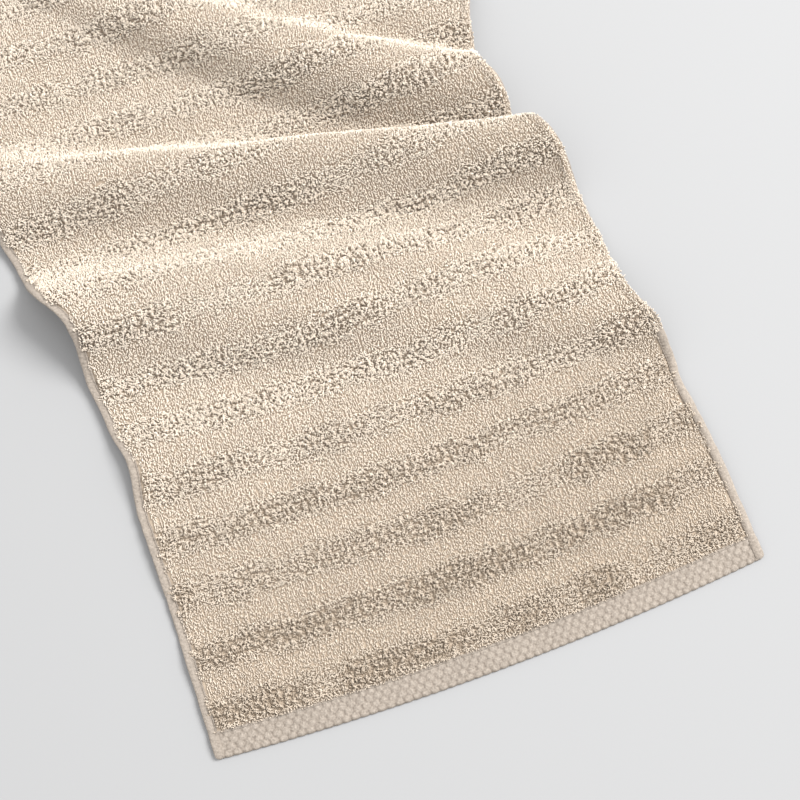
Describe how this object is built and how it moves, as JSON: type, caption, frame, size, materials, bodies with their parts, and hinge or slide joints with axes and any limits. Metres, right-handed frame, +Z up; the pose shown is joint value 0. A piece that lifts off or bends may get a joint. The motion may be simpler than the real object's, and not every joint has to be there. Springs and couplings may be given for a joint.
{
  "type": "ribbed bath towel",
  "caption": "Beige cotton terry bath towel with raised cross ribs, woven dobby end borders and folded side hems, lying loosely in soft cross folds.",
  "frame": {"origin": "middle of the towel's box at the level of the surface it lies on", "axes": "+X across the towel from its left hem to its right hem, +Y along it from the flat front end to the folded rear end, +Z up"},
  "size_m": [0.781, 1.343, 0.0668],
  "materials": {
    "terry_pile": "short looped cotton pile in fine columns, matt",
    "long_pile": "long curly looped cotton pile, matt and fluffy",
    "woven_border": "flat woven cotton with small rounded bumps in offset rows",
    "hem_tape": "plain woven cotton, folded over and stitched",
    "sewing_thread": "twisted cotton sewing thread"
  },
  "bodies": {
    "root": {"terry_ground": "terry_pile", "raised_rib_01": "long_pile", "raised_rib_02": "long_pile", "raised_rib_03": "long_pile", "raised_rib_04": "long_pile", "raised_rib_05": "long_pile", "raised_rib_06": "long_pile", "raised_rib_07": "long_pile", "raised_rib_08": "long_pile", "raised_rib_09": "long_pile", "raised_rib_10": "long_pile", "raised_rib_11": "long_pile", "raised_rib_12": "long_pile", "raised_rib_13": "long_pile", "raised_rib_14": "long_pile", "raised_rib_15": "long_pile", "raised_rib_16": "long_pile", "raised_rib_17": "long_pile", "raised_rib_18": "long_pile", "raised_rib_19": "long_pile", "hem_left": "hem_tape", "hem_right": "hem_tape", "border_front": "woven_border", "border_back": "woven_border", "stitch_left": "sewing_thread", "stitch_right": "sewing_thread", "stitch_front": "sewing_thread", "stitch_back": "sewing_thread"}
  },
  "joints": []
}
